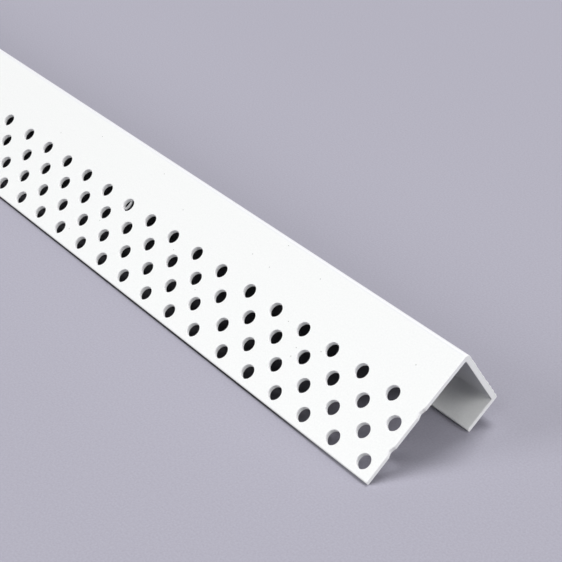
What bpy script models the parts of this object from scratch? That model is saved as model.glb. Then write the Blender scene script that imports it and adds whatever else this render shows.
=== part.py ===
"""Perforated plastic J bead for the edge of a plasterboard sheet, one extruded length.

The section is a J: a wide perforated flange, a web as deep as the board, and a short lip.
The web slants in a little under the flange, and the lip is parallel to the flange.
It lies as it comes to rest on a floor, leaning on the flange's free edge and the lip's free edge.
+X runs along the length towards the end that shows sawn-through holes, and +Z is up.
"""

import math

import bmesh
import bpy
from mathutils import Vector

# Lengths are in metres.
STOCK_LENGTH = 1.0
BOARD_THICKNESS = 0.0159
BOARD_CLEARANCE = 0.0003
FLANGE_WIDTH = 0.034
FLANGE_WALL = 0.0011
WEB_WALL = 0.0014
WEB_SLANT = math.radians(5.0)
LIP_WIDTH = 0.0098
LIP_WALL = 0.001

# Corner rounding of the extruded section.
HEEL_RADIUS = 0.0009
TOE_RADIUS = 0.0004
INNER_RADIUS = 0.00035
EDGE_RADIUS = 0.0003
ARC_STEPS = 3

# The flange is punched by a block of pins, one stroke after another.
HOLE_DIAMETER = 0.0036
HOLE_SIDES = 6
HOLE_ROWS = 4
ROW_SPACING = 0.005
HOLE_PITCH = 0.010
LAST_ROW_MARGIN = 0.0033
SAW_OFFSET = 0.0011
COLUMNS_IN_CUT_STROKE = 13
COLUMNS_IN_STROKE = 20
STROKE_SLIP = 0.00116
LEAST_SLIVER = 0.0003

PIN_OVERRUN = 0.001
WHITE_PVC = (0.90, 0.91, 0.90, 1.0)
PVC_ROUGHNESS = 0.42

CHANNEL_GAP = BOARD_THICKNESS + BOARD_CLEARANCE
DEPTH = FLANGE_WALL + CHANNEL_GAP + LIP_WALL
TOE_INSET = DEPTH * math.tan(WEB_SLANT)
LEAN = math.atan2(DEPTH - FLANGE_WALL, FLANGE_WIDTH - TOE_INSET - LIP_WIDTH)


def clear_scene():
    for obj in list(bpy.data.objects):
        bpy.data.objects.remove(obj, do_unlink=True)


def new_collection(name):
    collection = bpy.data.collections.new(name)
    bpy.context.scene.collection.children.link(collection)
    return collection


def white_pvc():
    material = bpy.data.materials.new("white_pvc")
    material.use_nodes = True
    shader = material.node_tree.nodes["Principled BSDF"]
    shader.inputs["Base Color"].default_value = WHITE_PVC
    shader.inputs["Roughness"].default_value = PVC_ROUGHNESS
    shader.inputs["Metallic"].default_value = 0.0
    material.diffuse_color = WHITE_PVC
    return material


def fillet(before, corner, after, radius):
    """Points of the arc that rounds one corner of the section, from its first leg to its second."""
    leg_in = (Vector(before) - Vector(corner)).normalized()
    leg_out = (Vector(after) - Vector(corner)).normalized()
    half_angle = 0.5 * leg_in.angle(leg_out)
    to_centre = (leg_in + leg_out).normalized() / math.sin(half_angle)
    first = leg_in / math.tan(half_angle) - to_centre
    last = leg_out / math.tan(half_angle) - to_centre
    centre = Vector(corner) + radius * to_centre
    return [centre + radius * first.slerp(last, step / ARC_STEPS) for step in range(ARC_STEPS + 1)]


def web_inner_face(z):
    """y of the web's inner face at a height on the level section."""
    return z * math.tan(WEB_SLANT) - WEB_WALL / math.cos(WEB_SLANT)


def section_outline():
    """The J seen from its near end with the flange level: y runs to the heel and z is up."""
    edge = min(EDGE_RADIUS, 0.4 * min(FLANGE_WALL, LIP_WALL))
    lip_top = LIP_WALL - DEPTH
    lip_edge = -TOE_INSET - LIP_WIDTH
    corners = [
        (0.0, 0.0, HEEL_RADIUS),
        (-FLANGE_WIDTH, 0.0, edge),
        (-FLANGE_WIDTH, -FLANGE_WALL, edge),
        (web_inner_face(-FLANGE_WALL), -FLANGE_WALL, INNER_RADIUS),
        (web_inner_face(lip_top), lip_top, INNER_RADIUS),
        (lip_edge, lip_top, edge),
        (lip_edge, -DEPTH, edge),
        (-TOE_INSET, -DEPTH, TOE_RADIUS),
    ]
    outline = []
    for index, (y, z, radius) in enumerate(corners):
        before = corners[index - 1][:2]
        after = corners[(index + 1) % len(corners)][:2]
        outline.extend(fillet(before, (y, z), after, radius))
    return outline


def leaned(y, z):
    """Where a point of the level section goes when the bead leans on its two free edges."""
    return (
        y * math.cos(LEAN) - z * math.sin(LEAN),
        y * math.sin(LEAN) + z * math.cos(LEAN),
    )


def resting_place(outline):
    """Shift that puts the leaned section's box on the floor, centred on Y."""
    points = [leaned(y, z) for y, z in outline]
    low_y = min(point[0] for point in points)
    high_y = max(point[0] for point in points)
    low_z = min(point[1] for point in points)
    return (0.0, -0.5 * (low_y + high_y), -low_z)


def extruded_bead(outline, parts):
    """The outline as a filled 2D curve, extruded to both sides and turned to run along X."""
    curve = bpy.data.curves.new("j_section", "CURVE")
    curve.dimensions = "2D"
    curve.fill_mode = "BOTH"
    curve.extrude = 0.5 * STOCK_LENGTH
    spline = curve.splines.new("POLY")
    spline.points.add(len(outline) - 1)
    for point, (y, z) in zip(spline.points, outline):
        point.co = (y, z, 0.0, 1.0)
    spline.use_cyclic_u = True
    drawn = bpy.data.objects.new("j_section", curve)
    drawn.rotation_euler = (0.5 * math.pi, 0.0, 0.5 * math.pi)
    parts.objects.link(drawn)
    bpy.context.view_layer.update()

    graph = bpy.context.evaluated_depsgraph_get()
    mesh = bpy.data.meshes.new_from_object(drawn.evaluated_get(graph))
    mesh.transform(drawn.matrix_world)
    bpy.data.objects.remove(drawn, do_unlink=True)
    work = bmesh.new()
    work.from_mesh(mesh)
    bmesh.ops.remove_doubles(work, verts=work.verts, dist=1e-6)
    bmesh.ops.recalc_face_normals(work, faces=work.faces)
    work.to_mesh(mesh)
    work.free()
    bead = bpy.data.objects.new("j_bead", mesh)
    parts.objects.link(bead)
    return bead


def column_positions():
    """Distance of each half-pitch column of holes from the near end, stroke by stroke."""
    columns = []
    place = -SAW_OFFSET
    left_in_stroke = COLUMNS_IN_CUT_STROKE
    while place < STOCK_LENGTH + HOLE_DIAMETER:
        columns.append(place)
        left_in_stroke -= 1
        place += 0.5 * HOLE_PITCH
        if left_in_stroke == 0:
            place += STROKE_SLIP
            left_in_stroke = COLUMNS_IN_STROKE
    return columns


def leaves_a_sliver(place):
    """Whether a hole's rim lies so close to a sawn end that hardly any plastic would be left or cut."""
    rims = (place - 0.5 * HOLE_DIAMETER, place + 0.5 * HOLE_DIAMETER)
    return any(abs(rim - end) < LEAST_SLIVER for rim in rims for end in (0.0, STOCK_LENGTH))


def hole_centres():
    """(x, y) of every hole on the level flange; neighbouring rows are staggered by half a pitch."""
    last_row = LAST_ROW_MARGIN - FLANGE_WIDTH
    rows = [last_row + (HOLE_ROWS - 1 - row) * ROW_SPACING for row in range(HOLE_ROWS)]
    centres = []
    for index, place in enumerate(column_positions()):
        if leaves_a_sliver(place) or place > STOCK_LENGTH + 0.5 * HOLE_DIAMETER:
            continue
        for row, y in enumerate(rows):
            if (index + row) % 2 == 0:
                centres.append((0.5 * STOCK_LENGTH - place, y))
    return centres


def punch_pins(cutters):
    """One pin through the flange for each hole, with as much area as the round hole has."""
    wedge = 2 * math.pi / HOLE_SIDES
    pin_radius = 0.5 * HOLE_DIAMETER * math.sqrt(wedge / math.sin(wedge))
    work = bmesh.new()
    for x, y in hole_centres():
        pin = bmesh.ops.create_cone(
            work,
            cap_ends=True,
            segments=HOLE_SIDES,
            radius1=pin_radius,
            radius2=pin_radius,
            depth=FLANGE_WALL + 2 * PIN_OVERRUN,
        )
        bmesh.ops.translate(work, verts=pin["verts"], vec=(x, y, -0.5 * FLANGE_WALL))
    mesh = bpy.data.meshes.new("punch_pins")
    work.to_mesh(mesh)
    work.free()
    pins = bpy.data.objects.new("punch_pins", mesh)
    pins.hide_render = True
    pins.display_type = "WIRE"
    cutters.objects.link(pins)
    return pins


def punch(bead, pins):
    cut = bead.modifiers.new("perforations", "BOOLEAN")
    cut.operation = "DIFFERENCE"
    cut.solver = "EXACT"
    cut.object = pins


def main():
    clear_scene()
    parts = new_collection("drywall_j_bead")
    cutters = new_collection("cutters")
    outline = section_outline()
    bead = extruded_bead(outline, parts)
    bead.data.materials.append(white_pvc())
    pins = punch_pins(cutters)
    punch(bead, pins)
    for obj in (bead, pins):
        obj.rotation_euler.x = LEAN
        obj.location = resting_place(outline)


main()
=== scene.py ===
import math

import bmesh
import bpy
from mathutils import Matrix, Vector, geometry, noise


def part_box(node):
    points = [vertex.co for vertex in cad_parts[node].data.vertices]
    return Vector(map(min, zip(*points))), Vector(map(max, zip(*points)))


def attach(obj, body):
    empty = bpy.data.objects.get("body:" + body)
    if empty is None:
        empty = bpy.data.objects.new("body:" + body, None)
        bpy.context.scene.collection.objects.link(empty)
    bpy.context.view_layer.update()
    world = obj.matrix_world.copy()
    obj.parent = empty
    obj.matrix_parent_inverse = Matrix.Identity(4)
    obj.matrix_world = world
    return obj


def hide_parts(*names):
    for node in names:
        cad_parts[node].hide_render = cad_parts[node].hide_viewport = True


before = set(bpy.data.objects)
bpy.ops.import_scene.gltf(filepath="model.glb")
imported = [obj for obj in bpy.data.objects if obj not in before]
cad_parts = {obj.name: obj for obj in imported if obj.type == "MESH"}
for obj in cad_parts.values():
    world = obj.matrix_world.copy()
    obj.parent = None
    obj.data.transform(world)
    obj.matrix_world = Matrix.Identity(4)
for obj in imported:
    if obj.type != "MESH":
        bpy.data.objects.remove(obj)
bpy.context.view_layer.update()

beadLow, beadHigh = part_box("j_bead")
print("frame loaded:", ", ".join(sorted(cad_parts)))


# The bead, in metres, drawn with its flange level: x along it, y towards the nose, z up.
jBead = {
    "boardGap": 0.0162,
    "flangeWidth": 0.034,
    "flangeWall": 0.0011,
    "webWall": 0.0014,
    "webSlant": 5.0,  # degrees from square, in under the flange
    "lipWidth": 0.0098,
    "lipWall": 0.001,
    "noseRadius": 0.0009,
    "toeRadius": 0.0004,
    "innerRadius": 0.00035,
    "edgeRadius": 0.0003,
    "arcSteps": 6,
    "stationPitch": 0.020,
    "endZone": 0.0006,  # a finer mesh runs this far in from each saw cut
    "finePitch": 0.0004,
    "sharpFrom": 35.0,  # degrees between two faces
    "chamfer": 0.00004,
    "edgeWander": 0.00006,  # how far the sawn edges stray from straight
    "wanderScale": 900.0,
    "sawBow": 0.00012,  # how far in the flange's cut runs at its middle
    "burr": 0.00024,  # what the saw pushed out over the web's outer edge
    "burrScale": 1100.0,
}

# The punch tool: staggered rows, one stroke after another, each a little out of step.
punching = {
    "diameter": 0.0036,
    "rows": 4,
    "rowSpacing": 0.005,
    "pitch": 0.010,
    "lastRowMargin": 0.0033,
    "sawOffset": 0.0011,
    "columnsInCutStroke": 13,
    "columnsInStroke": 20,
    "strokeSlip": 0.00116,
    "leastSliver": 0.0003,
    "rollOver": 0.00006,  # the rim that the punch draws down as it enters
    "rollSteps": 3,
    "draft": 0.00005,  # how much narrower the hole is below
    "breakOut": 0.00003,
    "rimPoints": 24,
    "notchPoints": 16,
    "notchShare": 0.74,  # how much of a sawn hole's depth the saw leaves open
    "notchDrag": 0.45,  # how far that leans towards the free edge
}

tiny = 1e-6  # points closer than this are one
length = beadHigh.x - beadLow.x
half = 0.5 * length
slant = math.radians(jBead["webSlant"])
depth = jBead["flangeWall"] + jBead["boardGap"] + jBead["lipWall"]
toeInset = depth * math.tan(slant)
lean = math.atan2(depth - jBead["flangeWall"], jBead["flangeWidth"] - toeInset - jBead["lipWidth"])


def rounded(before, corner, after, radius):
    # the arc that rounds one corner of the section
    legIn = (Vector(before) - Vector(corner)).normalized()
    legOut = (Vector(after) - Vector(corner)).normalized()
    halfAngle = 0.5 * legIn.angle(legOut)
    toCentre = (legIn + legOut).normalized() / math.sin(halfAngle)
    first = legIn / math.tan(halfAngle) - toCentre
    last = legOut / math.tan(halfAngle) - toCentre
    centre = Vector(corner) + radius * toCentre
    steps = jBead["arcSteps"]
    return [centre + radius * first.slerp(last, step / steps) for step in range(steps + 1)]


def webInside(z):
    # how far across the web's inner face lies at a height
    return z * math.tan(slant) - jBead["webWall"] / math.cos(slant)


def sectionArcs():
    # nose, free edge above and below, inside the nose, inside the toe, lip edge inside and outside, toe
    flange = jBead["flangeWidth"]
    under = -jBead["flangeWall"]
    lipEdge = -toeInset - jBead["lipWidth"]
    lipTop = jBead["lipWall"] - depth
    corners = [
        ((0.0, 0.0), jBead["noseRadius"]),
        ((-flange, 0.0), jBead["edgeRadius"]),
        ((-flange, under), jBead["edgeRadius"]),
        ((webInside(under), under), jBead["innerRadius"]),
        ((webInside(lipTop), lipTop), jBead["innerRadius"]),
        ((lipEdge, lipTop), jBead["edgeRadius"]),
        ((lipEdge, -depth), jBead["edgeRadius"]),
        ((-toeInset, -depth), jBead["toeRadius"]),
    ]
    arcs = []
    for index, (corner, radius) in enumerate(corners):
        before = corners[index - 1][0]
        after = corners[(index + 1) % len(corners)][0]
        arcs.append(rounded(before, corner, after, radius))
    return arcs


def between(start, end):
    # evenly spaced points on a straight stretch, without its two ends
    count = max(1, math.ceil((end - start).length / jBead["finePitch"]))
    return [start.lerp(end, step / count) for step in range(1, count)]


def at(x, point):
    return Vector((x, point[0], point[1]))


def stations():
    # where the long sides are divided, from the far cut to the near one
    inner = half - jBead["endZone"]
    count = round(2 * inner / jBead["stationPitch"])
    return [-half] + [inner * (2 * step / count - 1) for step in range(count + 1)] + [half]


def sweep(chain, skin):
    # a stretch of the section drawn along the bead, with more points beside both cuts
    places = stations()
    for start, end in zip(chain, chain[1:]):
        fine = [start] + between(start, end) + [end]
        for x, nextX in ((places[0], places[1]), (places[-1], places[-2])):
            for a, b in zip(fine, fine[1:]):
                skin.append([at(x, a), at(x, b), at(nextX, b), at(nextX, a)])
        for x, nextX in ((places[1], places[2]), (places[-2], places[-3])):
            skin.append([at(x, point) for point in fine] + [at(nextX, end), at(nextX, start)])
        for x, nextX in zip(places[2:-2], places[3:-2]):
            skin.append([at(x, start), at(x, end), at(nextX, end), at(nextX, start)])


def holeCentres():
    # (x, y) of every hole with its column and row, as the strokes of the tool leave them
    radius = 0.5 * punching["diameter"]
    lastRow = punching["lastRowMargin"] - jBead["flangeWidth"]
    spacing = punching["rowSpacing"]
    rows = [lastRow + (punching["rows"] - 1 - row) * spacing for row in range(punching["rows"])]
    centres = []
    place = -punching["sawOffset"]
    leftInStroke = punching["columnsInCutStroke"]
    column = 0
    while place < length + radius:
        rims = (place - radius, place + radius)
        if not any(abs(rim - end) < punching["leastSliver"] for rim in rims for end in (0.0, length)):
            for row, y in enumerate(rows):
                if (column + row) % 2 == 0:
                    centres.append((Vector((half - place, y)), column, row))
        column += 1
        leftInStroke -= 1
        place += 0.5 * punching["pitch"]
        if leftInStroke == 0:
            place += punching["strokeSlip"]
            leftInStroke = punching["columnsInStroke"]
    return centres


def rimRings():
    # (radius, z) down a hole: the rolled rim, the sheared wall and the broken-out lower edge
    radius = 0.5 * punching["diameter"]
    roll = punching["rollOver"]
    rings = []
    for step in range(punching["rollSteps"] + 1):
        turn = 0.5 * math.pi * step / punching["rollSteps"]
        rings.append((radius + roll * (1 - math.sin(turn)), -roll * (1 - math.cos(turn))))
    foot = radius - punching["draft"]
    rings.append((foot, punching["breakOut"] - jBead["flangeWall"]))
    rings.append((foot + punching["breakOut"], -jBead["flangeWall"]))
    return rings


def circle(centre, radius):
    count = punching["rimPoints"]
    turns = [2 * math.pi * step / count for step in range(count)]
    return [centre + radius * Vector((math.cos(turn), math.sin(turn))) for turn in turns]


def notch(centre, side, radius):
    # what a saw cut leaves of a hole's rim, from the nose side to the free side, its corners dragged round
    reach = half - side * centre.x
    first = math.acos(reach / radius)
    halfChord = radius * math.sin(first)
    count = punching["notchPoints"]
    points = []
    for step in range(count + 1):
        turn = first + (2 * math.pi - 2 * first) * step / count
        offset = radius * math.sin(turn)
        across = max(-1.0, min(1.0, offset / halfChord))
        kept = punching["notchShare"] * (1 - across ** 2) * (1 - punching["notchDrag"] * across)
        bite = kept * (reach - radius * math.cos(turn))
        points.append(Vector((side * (half - bite), centre.y + offset)))
    return points


def sawnHoles(centres, side):
    # holes that a saw cut opens, from the nose to the free edge
    cut = [centre for centre, column, row in centres if half - side * centre.x < 0.5 * punching["diameter"]]
    return sorted(cut, key=lambda centre: -centre.y)


def cutLine(centres, side, yNose, yFree, radius):
    # where one face of the flange meets a saw cut, round the notches, without its two ends
    points = []
    start = Vector((side * half, yNose))
    for centre in sawnHoles(centres, side):
        arc = notch(centre, side, radius)
        points += between(start, arc[0]) + arc
        start = arc[-1]
    return points + between(start, Vector((side * half, yFree)))


def flangeFace(centres, yNose, yFree, ring, skin):
    # one perforated face of the flange, filled with triangles round the holes
    radius, z = ring
    outline = [Vector((x, yNose)) for x in stations()]
    outline += cutLine(centres, 1, yNose, yFree, radius)
    outline += [Vector((x, yFree)) for x in reversed(stations())]
    outline += reversed(cutLine(centres, -1, yNose, yFree, radius))
    sawn = sawnHoles(centres, 1) + sawnHoles(centres, -1)
    loops = [outline] + [circle(centre, radius) for centre, column, row in centres if centre not in sawn]
    points = []
    edges = []
    loopOf = []
    for number, loop in enumerate(loops):
        first = len(points)
        points += loop
        edges += [(first + step, first + (step + 1) % len(loop)) for step in range(len(loop))]
        loopOf += [number] * len(loop)
    inMillimetres = [1000 * point for point in points]
    filled = geometry.delaunay_2d_cdt(inMillimetres, edges, [], 1, 1e-5)
    triangles, sources = filled[2], filled[3]
    for triangle in triangles:
        corners = [sources[corner][0] for corner in triangle]
        owners = {loopOf[corner] for corner in corners}
        if owners == {0} or len(owners) > 1:  # three corners on one rim are inside that hole
            skin.append([Vector((*points[corner], z)) for corner in corners])


def holeWalls(centres, skin):
    rings = rimRings()
    for centre, column, row in centres:
        side = 1 if centre.x > 0 else -1
        isSawn = half - side * centre.x < 0.5 * punching["diameter"]
        for (radius, z), (nextRadius, nextZ) in zip(rings, rings[1:]):
            if isSawn:
                upper = notch(centre, side, radius)
                lower = notch(centre, side, nextRadius)
            else:
                upper = circle(centre, radius)
                lower = circle(centre, nextRadius)
                upper.append(upper[0])
                lower.append(lower[0])
            for step in range(len(upper) - 1):
                top = [Vector((*upper[step], z)), Vector((*upper[step + 1], z))]
                skin.append(top + [Vector((*lower[step + 1], nextZ)), Vector((*lower[step], nextZ))])


def capFaces(centres, side, freeEdge, channel, skin):
    # the sawn section, in the pieces that the notches leave
    rings = rimRings()
    sawn = sawnHoles(centres, side)
    for number in range(len(sawn) + 1):
        if number == 0:
            noseSide = [channel[0]]
            for start, end in zip(channel, channel[1:]):
                noseSide += between(start, end) + [end]
        else:
            before = sawn[number - 1]
            noseSide = [Vector((notch(before, side, radius)[-1].y, z)) for radius, z in reversed(rings)]
        if number == len(sawn):
            freeSide = [freeEdge[0]]
            for start, end in zip(freeEdge, freeEdge[1:]):
                freeSide += between(start, end) + [end]
        else:
            freeSide = [Vector((notch(sawn[number], side, radius)[0].y, z)) for radius, z in rings]
        outline = noseSide + between(noseSide[-1], freeSide[0])
        outline += freeSide + between(freeSide[-1], noseSide[0])
        skin.append([at(side * half, point) for point in outline])


def dressCuts(work):
    # an uneven chamfer round each saw cut, a burr on the web's outer edge and a bow along the flange
    flangeOnly = -1.2 * jBead["flangeWall"]
    for side in (-1, 1):
        caps = [face for face in work.faces if all(side * vert.co.x > half - tiny for vert in face.verts)]
        bmesh.ops.inset_region(work, faces=caps, thickness=jBead["chamfer"], use_even_offset=True)
        inner = {vert for face in caps for vert in face.verts}
        for vert in work.verts:
            if side * vert.co.x > half - tiny and vert not in inner:
                stray = jBead["edgeWander"] * (0.5 + 0.5 * noise.noise(jBead["wanderScale"] * vert.co))
                if vert.normal.y > 0.5 and vert.co.z < -jBead["noseRadius"]:
                    vert.co.y += jBead["burr"] * noise.noise(jBead["burrScale"] * vert.co)
                vert.co.x -= side * (jBead["chamfer"] + stray)
        for vert in work.verts:
            if side * vert.co.x > half - 0.5 * jBead["endZone"] and vert.co.z > flangeOnly:
                bow = math.sin(math.pi * min(1.0, max(0.0, -vert.co.y / jBead["flangeWidth"])))
                vert.co.x -= side * jBead["sawBow"] * bow


def restingPlace(arcs):
    # the shift that brings the free edges of flange and lip to the floor once the bead is leaned
    turned = [Matrix.Rotation(lean, 3, "X") @ at(0.0, point) for arc in arcs for point in arc]
    lowZ = min(point.z for point in turned)
    middleY = 0.5 * (min(point.y for point in turned) + max(point.y for point in turned))
    return Vector((beadLow.x + half, 0.5 * (beadLow.y + beadHigh.y) - middleY, beadLow.z - lowZ))


def makeBead():
    arcs = sectionArcs()
    freeEdge = arcs[1] + arcs[2]
    channel = arcs[3] + arcs[4] + arcs[5] + arcs[6] + arcs[7] + arcs[0]
    centres = holeCentres()
    rings = rimRings()
    skin = []
    sweep(freeEdge, skin)
    sweep(channel, skin)
    flangeFace(centres, channel[-1].x, freeEdge[0].x, rings[0], skin)
    flangeFace(centres, channel[0].x, freeEdge[-1].x, rings[-1], skin)
    moulded = len(skin)  # the faces after these are punched or sawn
    holeWalls(centres, skin)
    for side in (-1, 1):
        capFaces(centres, side, freeEdge, channel, skin)

    points = []
    faces = []
    for corners in skin:
        faces.append(range(len(points), len(points) + len(corners)))
        points += corners
    mesh = bpy.data.meshes.new("perforatedBead")
    mesh.from_pydata(points, [], faces)
    for face in mesh.polygons:
        face.material_index = 1 if face.index >= moulded else 0
    work = bmesh.new()
    work.from_mesh(mesh)
    bmesh.ops.remove_doubles(work, verts=work.verts, dist=tiny)
    bmesh.ops.recalc_face_normals(work, faces=work.faces)
    work.normal_update()
    dressCuts(work)
    openEdges = sum(not edge.is_manifold for edge in work.edges)
    work.transform(Matrix.Translation(restingPlace(arcs)) @ Matrix.Rotation(lean, 4, "X"))
    work.to_mesh(mesh)
    work.free()
    mesh.shade_smooth()
    mesh.set_sharp_from_angle(angle=math.radians(jBead["sharpFrom"]))
    bead = bpy.data.objects.new("perforatedBead", mesh)
    bpy.context.scene.collection.objects.link(bead)
    even = bead.modifiers.new("evenNormals", "WEIGHTED_NORMAL")
    even.keep_sharp = True
    print("bead made:", len(centres), "holes,", len(mesh.polygons), "faces,", openEdges, "open edges")
    return bead


# A slug that the punch tore and left hanging in one hole of the row nearest the nose.
tornSlug = {
    "row": 0,
    "column": 22,
    "bend": (-0.24, 0.04, -0.34),  # its middle line across the hole, in hole radii
    "from": -0.70,
    "to": 0.88,
    "steps": 16,
    "width": 0.00012,
    "widthSwing": 0.25,
    "widthScale": 7.0,
    "sag": 0.00050,  # how much lower its torn side hangs
    "under": 0.00055,
    "thickness": 0.00025,
}


def makeTornSlug():
    centre = next(centre for centre, column, row in holeCentres()
                  if (column, row) == (tornSlug["column"], tornSlug["row"]))
    radius = 0.5 * punching["diameter"]
    work = bmesh.new()
    rings = []
    for step in range(tornSlug["steps"] + 1):
        share = step / tornSlug["steps"]
        reach = tornSlug["from"] + (tornSlug["to"] - tornSlug["from"]) * share
        first, second, third = tornSlug["bend"]
        middle = radius * (first + second * reach + third * reach * reach)
        swing = tornSlug["widthSwing"] * noise.noise(Vector((tornSlug["widthScale"] * share, 0.0, 0.0)))
        halfWidth = 0.5 * tornSlug["width"] * (1 + swing)
        high = -tornSlug["under"]
        low = high - tornSlug["sag"]
        corners = [(-halfWidth, high), (halfWidth, low)]
        corners += [(across, z - tornSlug["thickness"]) for across, z in reversed(corners)]
        place = centre + Vector((middle, radius * reach))
        rings.append([work.verts.new((place.x + across, place.y, z)) for across, z in corners])
    for ring, following in zip(rings, rings[1:]):
        for index in range(4):
            work.faces.new([ring[index - 1], ring[index], following[index], following[index - 1]])
    work.faces.new(rings[0])
    work.faces.new(rings[-1])
    bmesh.ops.recalc_face_normals(work, faces=work.faces)
    work.transform(Matrix.Translation(restingPlace(sectionArcs())) @ Matrix.Rotation(lean, 4, "X"))
    mesh = bpy.data.meshes.new("tornSlug")
    work.to_mesh(mesh)
    work.free()
    slug = bpy.data.objects.new("tornSlug", mesh)
    bpy.context.scene.collection.objects.link(slug)
    print("torn slug left in column", tornSlug["column"])
    return slug


class Value:
    # a socket that can be used in sums
    def __init__(self, bench, socket):
        self.bench = bench
        self.socket = socket

    def __add__(self, other):
        return self.bench.sum("ADD", self, other)

    def __radd__(self, other):
        return self.bench.sum("ADD", other, self)

    def __sub__(self, other):
        return self.bench.sum("SUBTRACT", self, other)

    def __rsub__(self, other):
        return self.bench.sum("SUBTRACT", other, self)

    def __mul__(self, other):
        return self.bench.sum("MULTIPLY", self, other)

    def __rmul__(self, other):
        return self.bench.sum("MULTIPLY", other, self)

    def __abs__(self):
        return self.bench.sum("ABSOLUTE", self, 0.0)

    def __gt__(self, other):
        return self.bench.sum("GREATER_THAN", self, other)

    def __lt__(self, other):
        return self.bench.sum("LESS_THAN", self, other)


class Bench:
    # adds nodes to one material's or world's tree
    def __init__(self, tree):
        self.tree = tree

    def feed(self, socket, value):
        if isinstance(value, Value):
            self.tree.links.new(value.socket, socket)
        else:
            socket.default_value = value

    def node(self, kind, settings, sockets, output=0):
        made = self.tree.nodes.new(kind)
        for key, value in settings.items():
            setattr(made, key, value)
        for key, value in sockets.items():
            self.feed(made.inputs[key], value)
        return Value(self, made.outputs[output])

    def sum(self, operation, first, second):
        return self.node("ShaderNodeMath", {"operation": operation}, {0: first, 1: second})

    def stretch(self, vector, scale):
        return self.node("ShaderNodeVectorMath", {"operation": "MULTIPLY"}, {0: vector, 1: scale})

    def tint(self, mask, plain, marked):
        return self.node("ShaderNodeMix", {"data_type": "RGBA"}, {0: mask, 6: plain, 7: marked}, 2)

    def noise(self, vector, detail=3.0):
        sockets = {"Vector": vector, "Scale": 1.0, "Detail": detail}
        return self.node("ShaderNodeTexNoise", {}, sockets, "Fac")

    def bump(self, height, strength, distance, before=None):
        sockets = {"Height": height, "Strength": strength, "Distance": distance}
        if before is not None:
            sockets["Normal"] = before
        return self.node("ShaderNodeBump", {}, sockets, "Normal")


# White rigid PVC from the extruder: faint die lines, a fine stipple, a few specks and painted shade along
# the nose.
pvcLook = {
    "white": (0.935, 0.945, 0.935, 1.0),
    "greyed": (0.835, 0.845, 0.845, 1.0),
    "roughness": 0.42,
    "roughnessSwing": 0.12,
    "dieLines": (4.0, 900.0, 900.0),
    "linesShare": 0.06,  # how much of the greying follows the die lines
    "stipple": (2400.0, 2400.0, 2400.0),
    "stippleShare": 0.88,
    "relief": 0.10,
    "reliefDepth": 0.00004,
    "speck": (0.45, 0.45, 0.44, 1.0),
    "speckPitch": 0.007,
    "speckRadius": 0.00013,
    "speckShare": 0.20,
    # the colour of the painted shade on the nose, a little blue like the floor it reflects
    "noseShadeColour": (0.79, 0.79, 0.82, 1.0),
    "noseShadeFrom": -0.0012,  # how far across the flange the painted nose shade starts, from the nose
    "noseShadeTo": -0.0007,
    "noseShadeLeast": 0.7,
    "noseShadeSwing": 0.6,
}

# Where the punch and the saw went through: whiter, partly as fresh matte plastic and partly as painted
# light for the glow through the thin walls, and duller, with marks across the wall.
cutLook = {
    "white": (0.975, 0.98, 0.985, 1.0),
    "greyed": (0.92, 0.925, 0.935, 1.0),
    "roughness": 0.6,
    "marks": (500.0, 2600.0, 500.0),
    "relief": 0.15,
    "reliefDepth": 0.00005,
}


def levelPlace(bench):
    # where a point of the bead is before it is leaned: along it, across it and through its flange
    standing = bench.node("ShaderNodeTexCoord", {}, {}, "Object")
    sockets = {"Vector": standing, "Location": restingPlace(sectionArcs()), "Rotation": (lean, 0.0, 0.0)}
    return bench.node("ShaderNodeMapping", {"vector_type": "TEXTURE"}, sockets)


def specks(bench, place):
    # tiny dark spots scattered over the flange's outer face
    pitch = pvcLook["speckPitch"]
    spread = bench.stretch(place, (1 / pitch, 1 / pitch, 1.0))
    cells = {"Vector": spread, "Scale": 1.0}
    distance = bench.node("ShaderNodeTexVoronoi", {"voronoi_dimensions": "2D"}, cells, "Distance")
    chance = bench.node("ShaderNodeTexVoronoi", {"voronoi_dimensions": "2D"}, cells, "Color")
    chosen = bench.node("ShaderNodeSeparateColor", {}, {0: chance}, "Red")
    height = bench.node("ShaderNodeSeparateXYZ", {}, {0: place}, "Z")
    onTop = height > -jBead["edgeRadius"]
    return onTop * (chosen < pvcLook["speckShare"]) * (distance < pvcLook["speckRadius"] / pitch)


def paintedNoseShade(bench, place):
    # painted shade with a painted reflection of the lavender floor: the nose's rounding is greyed a little
    # towards blue
    across = bench.node("ShaderNodeSeparateXYZ", {}, {0: place}, "Y")
    height = bench.node("ShaderNodeSeparateXYZ", {}, {0: place}, "Z")
    fade = {"Value": across, "From Min": pvcLook["noseShadeFrom"], "From Max": pvcLook["noseShadeTo"]}
    noseShade = bench.node("ShaderNodeMapRange", {"interpolation_type": "SMOOTHSTEP"}, fade)
    return noseShade * (height > -jBead["noseRadius"])


def whitePvc():
    material = bpy.data.materials.new("whitePvc")
    material.use_nodes = True
    bench = Bench(material.node_tree)
    shader = material.node_tree.nodes["Principled BSDF"]
    place = levelPlace(bench)
    lines = bench.noise(bench.stretch(place, pvcLook["dieLines"]))
    stipple = bench.noise(bench.stretch(place, pvcLook["stipple"]), 1.0)
    shade = pvcLook["linesShare"] * lines + pvcLook["stippleShare"] * stipple
    plain = bench.tint(shade, pvcLook["white"], pvcLook["greyed"])
    # painted shade on the nose, made uneven along the die lines
    noseShade = paintedNoseShade(bench, place) * (pvcLook["noseShadeLeast"] + pvcLook["noseShadeSwing"] * lines)
    plain = bench.tint(noseShade, plain, pvcLook["noseShadeColour"])
    bench.feed(shader.inputs["Base Color"], bench.tint(specks(bench, place), plain, pvcLook["speck"]))
    bench.feed(shader.inputs["Roughness"], pvcLook["roughness"] + pvcLook["roughnessSwing"] * (lines - 0.5))
    relief = bench.bump(stipple, pvcLook["relief"], pvcLook["reliefDepth"])
    relief = bench.bump(lines, pvcLook["relief"], pvcLook["reliefDepth"], relief)
    bench.feed(shader.inputs["Normal"], relief)
    return material


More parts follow.
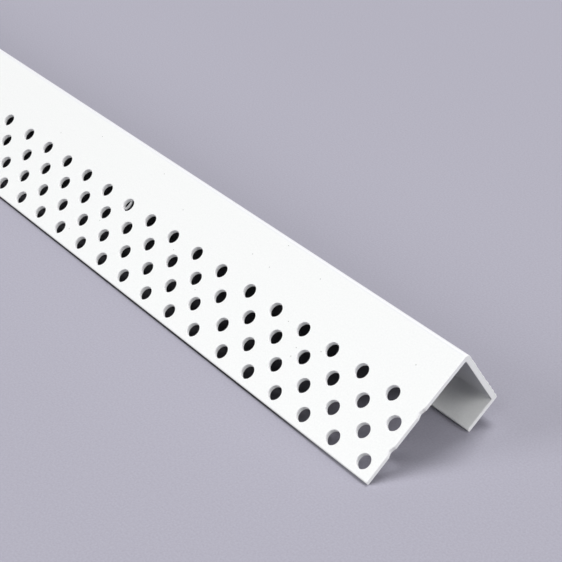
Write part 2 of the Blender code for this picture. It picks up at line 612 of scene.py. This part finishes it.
def cutPvc():
    material = bpy.data.materials.new("cutPvc")
    material.use_nodes = True
    bench = Bench(material.node_tree)
    shader = material.node_tree.nodes["Principled BSDF"]
    marks = bench.noise(bench.stretch(levelPlace(bench), cutLook["marks"]))
    bench.feed(shader.inputs["Base Color"], bench.tint(marks, cutLook["white"], cutLook["greyed"]))
    bench.feed(shader.inputs["Roughness"], cutLook["roughness"])
    bench.feed(shader.inputs["Normal"], bench.bump(marks, cutLook["relief"], cutLook["reliefDepth"]))
    return material


floorLook = {
    "size": 20.0,
    "colour": (0.393, 0.383, 0.452, 1.0),
    "bounce": (0.15, 0.145, 0.18, 1.0),  # what it gives back into the bead's hollow side
    "shadeFrom": -0.002,  # the painted shade on the floor under the bead starts here, in from the near end
    "shadeTo": 0.042,
    "shadeDepth": 0.85,
    "grain": (2200.0, 2200.0, 2200.0),
    "grainDepth": 0.78,
    "roughness": 0.75,
    "specular": 0.2,
}


def paintedShadeUnderBead(bench, place):
    # painted shade: how much darker the floor is made between the two edges that stand on it, away from
    # both ends
    lipFoot = Matrix.Rotation(lean, 3, "X") @ Vector((0.0, -toeInset - jBead["lipWidth"], -depth))
    lipFoot += restingPlace(sectionArcs())
    reach = bench.node("ShaderNodeSeparateXYZ", {}, {0: place}, "X")
    across = bench.node("ShaderNodeSeparateXYZ", {}, {0: place}, "Y")
    fade = {"From Min": half - floorLook["shadeFrom"], "From Max": half - floorLook["shadeTo"]}
    fade.update({"Value": abs(reach), "To Max": floorLook["shadeDepth"]})
    deep = bench.node("ShaderNodeMapRange", {"interpolation_type": "SMOOTHSTEP"}, fade)
    return deep * (across > beadLow.y) * (across < lipFoot.y)


def makeFloor():
    bpy.ops.mesh.primitive_plane_add(size=floorLook["size"])
    floor = bpy.context.object
    floor.name = "floor"
    material = bpy.data.materials.new("floorLavender")
    material.use_nodes = True
    bench = Bench(material.node_tree)
    shader = material.node_tree.nodes["Principled BSDF"]
    place = bench.node("ShaderNodeTexCoord", {}, {}, "Object")
    grain = bench.noise(bench.stretch(place, floorLook["grain"]), 1.0)
    darker = [floorLook["grainDepth"] * channel for channel in floorLook["colour"][:3]] + [1.0]
    grained = bench.tint(grain, floorLook["colour"], darker)
    black = (0.0, 0.0, 0.0, 1.0)
    underBeadShade = paintedShadeUnderBead(bench, place)
    # painted shade on the floor under the bead, seen through the holes and the open ends, and taken out of
    # its bounce as well
    grained = bench.tint(underBeadShade, grained, black)
    bounce = bench.tint(underBeadShade, floorLook["bounce"], black)
    camera = bench.node("ShaderNodeLightPath", {}, {}, "Is Camera Ray")
    glossy = bench.node("ShaderNodeLightPath", {}, {}, "Is Glossy Ray")
    seen = bench.sum("MAXIMUM", camera, glossy)
    bench.feed(shader.inputs["Base Color"], bench.tint(seen, bounce, grained))
    bench.feed(shader.inputs["Roughness"], floorLook["roughness"])
    bench.feed(shader.inputs["Specular IOR Level"], floorLook["specular"])
    floor.data.materials.append(material)


# Softboxes: a low one on each side of the bead, one over its free edge, one at its near end, one overhead.
lighting = {
    "softboxes": {
        "flangeSide": {"azimuth": 240.0, "elevation": 25.0, "spread": 24.0, "strength": 1.54},
        "freeEdge": {"azimuth": 288.0, "elevation": 45.0, "spread": 24.0, "strength": 0.43},
        "webSide": {"azimuth": 30.0, "elevation": 25.0, "spread": 24.0, "strength": 1.60},
        "nearEnd": {"azimuth": 0.0, "elevation": 45.0, "spread": 24.0, "strength": 0.75},
        "overhead": {"azimuth": 120.0, "elevation": 68.0, "spread": 24.0, "strength": 2.07},
    },
    "roomColour": (0.96, 0.98, 1.0, 1.0),
    "roomStrength": 0.01,
    "backdrop": (0.485, 0.473, 0.558, 1.0),
}


def makeLight():
    for name, look in lighting["softboxes"].items():
        softbox = bpy.data.lights.new(name, "SUN")
        softbox.angle = math.radians(look["spread"])
        softbox.energy = look["strength"]
        stand = bpy.data.objects.new(name, softbox)
        # a softbox shines down its own Z, so it is tipped over and turned about
        turn = (0.0, math.radians(90.0 - look["elevation"]), math.radians(look["azimuth"]))
        stand.rotation_euler = turn
        bpy.context.scene.collection.objects.link(stand)

    world = bpy.data.worlds.new("room")
    world.use_nodes = True
    bpy.context.scene.world = world
    bench = Bench(world.node_tree)
    sky = world.node_tree.nodes["Background"]
    seen = bench.node("ShaderNodeLightPath", {}, {}, "Is Camera Ray")
    bench.feed(sky.inputs["Color"], bench.tint(seen, lighting["roomColour"], lighting["backdrop"]))
    strength = lighting["roomStrength"] + seen * (1 - lighting["roomStrength"])
    bench.feed(sky.inputs["Strength"], strength)


cameraPlace = {
    "position": (0.68070, -0.17924, 0.20301),
    "turn": (57.578, 0.256, 52.219),
    "lens": 98.04,
}


def makeCamera():
    camera = bpy.data.objects.new("camera", bpy.data.cameras.new("camera"))
    camera.location = cameraPlace["position"]
    camera.rotation_euler = [math.radians(angle) for angle in cameraPlace["turn"]]
    camera.data.lens = cameraPlace["lens"]
    camera.data.clip_start = 0.01
    bpy.context.scene.collection.objects.link(camera)
    bpy.context.scene.camera = camera


bead = makeBead()
bead.data.materials.append(whitePvc())
bead.data.materials.append(cutPvc())
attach(bead, "root")
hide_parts("j_bead")
slug = makeTornSlug()
slug.data.materials.append(bpy.data.materials["cutPvc"])
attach(slug, "root")
makeFloor()
makeLight()
makeCamera()
bpy.context.scene.view_settings.view_transform = "Standard"
print("finishes, light and camera set")
